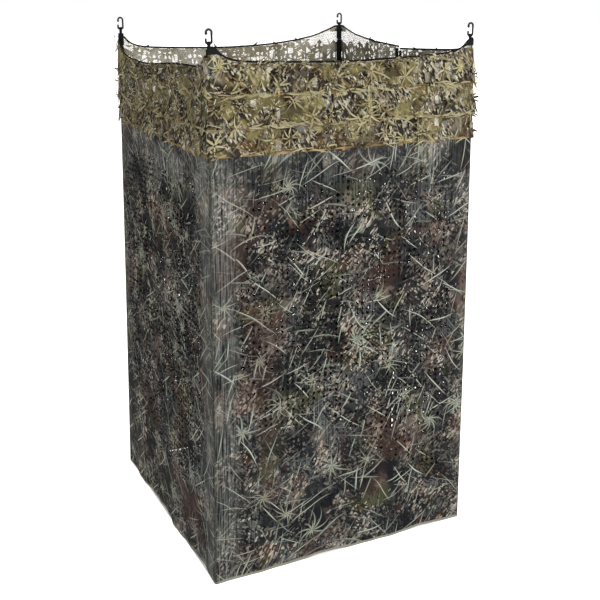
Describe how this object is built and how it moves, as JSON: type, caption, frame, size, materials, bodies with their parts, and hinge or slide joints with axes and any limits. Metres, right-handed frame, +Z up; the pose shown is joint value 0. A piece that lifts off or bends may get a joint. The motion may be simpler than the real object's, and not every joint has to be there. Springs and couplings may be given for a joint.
{
  "type": "upright field blind",
  "caption": "Upright square fabric hide for hunting or bird watching, open at the top, with printed reed cloth walls, a leafy see-through band, corner poles, a split door wall and top hooks.",
  "frame": {"origin": "plan centre of the four poles on the ground", "axes": "+Z up; the unbroken front wall faces -Y; the split door wall faces +X"},
  "size_m": [0.9528, 0.9508, 1.846],
  "materials": {
    "printed_cloth": "matte reed-print woven polyester with die-cut leaves",
    "netting": "open knitted netting",
    "leaf_cloth": "matte die-cut leaf cloth",
    "black_webbing": "woven black polyester",
    "sleeve_cloth": "matte black woven polyester",
    "pole_tube": "black glass-fibre tube",
    "rubber": "matte rubber",
    "hook_plastic": "black moulded hook"
  },
  "bodies": {
    "front_wall": {"front_camo_panel": "printed_cloth", "front_mesh_band": "netting", "front_top_hem": "black_webbing", "front_leaf_strip_top": "leaf_cloth", "front_leaf_strip_middle": "leaf_cloth", "front_leaf_strip_bottom": "leaf_cloth", "front_corner_gusset_start": "black_webbing", "front_corner_gusset_end": "black_webbing", "pole_front_left": "pole_tube", "pole_sleeve_front_left": "sleeve_cloth", "foot_cap_front_left": "rubber", "hook_loop_front_left": "black_webbing"},
    "left_wall": {"left_camo_panel": "printed_cloth", "left_mesh_band": "netting", "left_top_hem": "black_webbing", "left_leaf_strip_top": "leaf_cloth", "left_leaf_strip_middle": "leaf_cloth", "left_leaf_strip_bottom": "leaf_cloth", "left_corner_gusset_start": "black_webbing", "left_corner_gusset_end": "black_webbing", "pole_back_left": "pole_tube", "pole_sleeve_back_left": "sleeve_cloth", "foot_cap_back_left": "rubber", "hook_loop_back_left": "black_webbing"},
    "back_wall": {"back_camo_panel": "printed_cloth", "back_mesh_band": "netting", "back_top_hem": "black_webbing", "back_leaf_strip_top": "leaf_cloth", "back_leaf_strip_middle": "leaf_cloth", "back_leaf_strip_bottom": "leaf_cloth", "back_corner_gusset_start": "black_webbing", "back_corner_gusset_end": "black_webbing"},
    "back_right_post": {"pole_back_right": "pole_tube", "pole_sleeve_back_right": "sleeve_cloth", "foot_cap_back_right": "rubber", "hook_loop_back_right": "black_webbing"},
    "door_rear_flap": {"door_rear_camo_panel": "printed_cloth", "door_rear_mesh_band": "netting", "door_rear_top_hem": "black_webbing", "door_rear_leaf_strip_top": "leaf_cloth", "door_rear_leaf_strip_middle": "leaf_cloth", "door_rear_leaf_strip_bottom": "leaf_cloth", "door_rear_corner_gusset_start": "black_webbing", "door_rear_closure": "black_webbing"},
    "front_right_post": {"pole_front_right": "pole_tube", "pole_sleeve_front_right": "sleeve_cloth", "foot_cap_front_right": "rubber", "hook_loop_front_right": "black_webbing"},
    "door_front_flap": {"door_front_camo_panel": "printed_cloth", "door_front_mesh_band": "netting", "door_front_top_hem": "black_webbing", "door_front_leaf_strip_top": "leaf_cloth", "door_front_leaf_strip_middle": "leaf_cloth", "door_front_leaf_strip_bottom": "leaf_cloth", "door_front_corner_gusset_start": "black_webbing", "door_front_closure": "black_webbing"},
    "hook_front_left_body": {"hook_front_left": "hook_plastic"},
    "hook_front_right_body": {"hook_front_right": "hook_plastic"},
    "hook_back_left_body": {"hook_back_left": "hook_plastic"},
    "hook_back_right_body": {"hook_back_right": "hook_plastic"}
  },
  "joints": [
    {"name": "fold", "type": "hinge", "parent": "front_wall", "child": "left_wall", "pos_m": [-0.464, -0.464, 0.9], "axis": [0, 0, 1], "range_deg": [-73, 73]},
    {"name": "fold_back_left", "type": "hinge", "parent": "left_wall", "child": "back_wall", "pos_m": [-0.464, 0.464, 0.9], "axis": [0, 0, 1], "range_deg": [-73, 73]},
    {"name": "fold_back_right", "type": "hinge", "parent": "back_wall", "child": "back_right_post", "pos_m": [0.464, 0.464, 0.9], "axis": [0, 0, 1], "range_deg": [-73, 73]},
    {"name": "fold_front_right", "type": "hinge", "parent": "front_wall", "child": "front_right_post", "pos_m": [0.464, -0.464, 0.9], "axis": [0, 0, 1], "range_deg": [-73, 73]},
    {"name": "door_rear_swing", "type": "hinge", "parent": "back_right_post", "child": "door_rear_flap", "pos_m": [0.464, 0.464, 0.9], "axis": [0, 0, 1], "range_deg": [-2, 110]},
    {"name": "door_front_swing", "type": "hinge", "parent": "front_right_post", "child": "door_front_flap", "pos_m": [0.464, -0.464, 0.9], "axis": [0, 0, 1], "range_deg": [-110, 2]},
    {"name": "hook_front_left_tilt", "type": "hinge", "parent": "front_wall", "child": "hook_front_left_body", "pos_m": [-0.464, -0.464, 1.803], "axis": [1, 0, 0], "range_deg": [-95, 95]},
    {"name": "hook_front_right_tilt", "type": "hinge", "parent": "front_right_post", "child": "hook_front_right_body", "pos_m": [0.464, -0.464, 1.803], "axis": [1, 0, 0], "range_deg": [-95, 95]},
    {"name": "hook_back_left_tilt", "type": "hinge", "parent": "left_wall", "child": "hook_back_left_body", "pos_m": [-0.464, 0.464, 1.803], "axis": [1, 0, 0], "range_deg": [-95, 95]},
    {"name": "hook_back_right_tilt", "type": "hinge", "parent": "back_right_post", "child": "hook_back_right_body", "pos_m": [0.464, 0.464, 1.803], "axis": [1, 0, 0], "range_deg": [-95, 95]}
  ],
  "couplings": [
    {"joint": "fold_back_left", "follows": "fold", "ratio": -1},
    {"joint": "fold_back_right", "follows": "fold", "ratio": 1},
    {"joint": "fold_front_right", "follows": "fold", "ratio": 1}
  ]
}
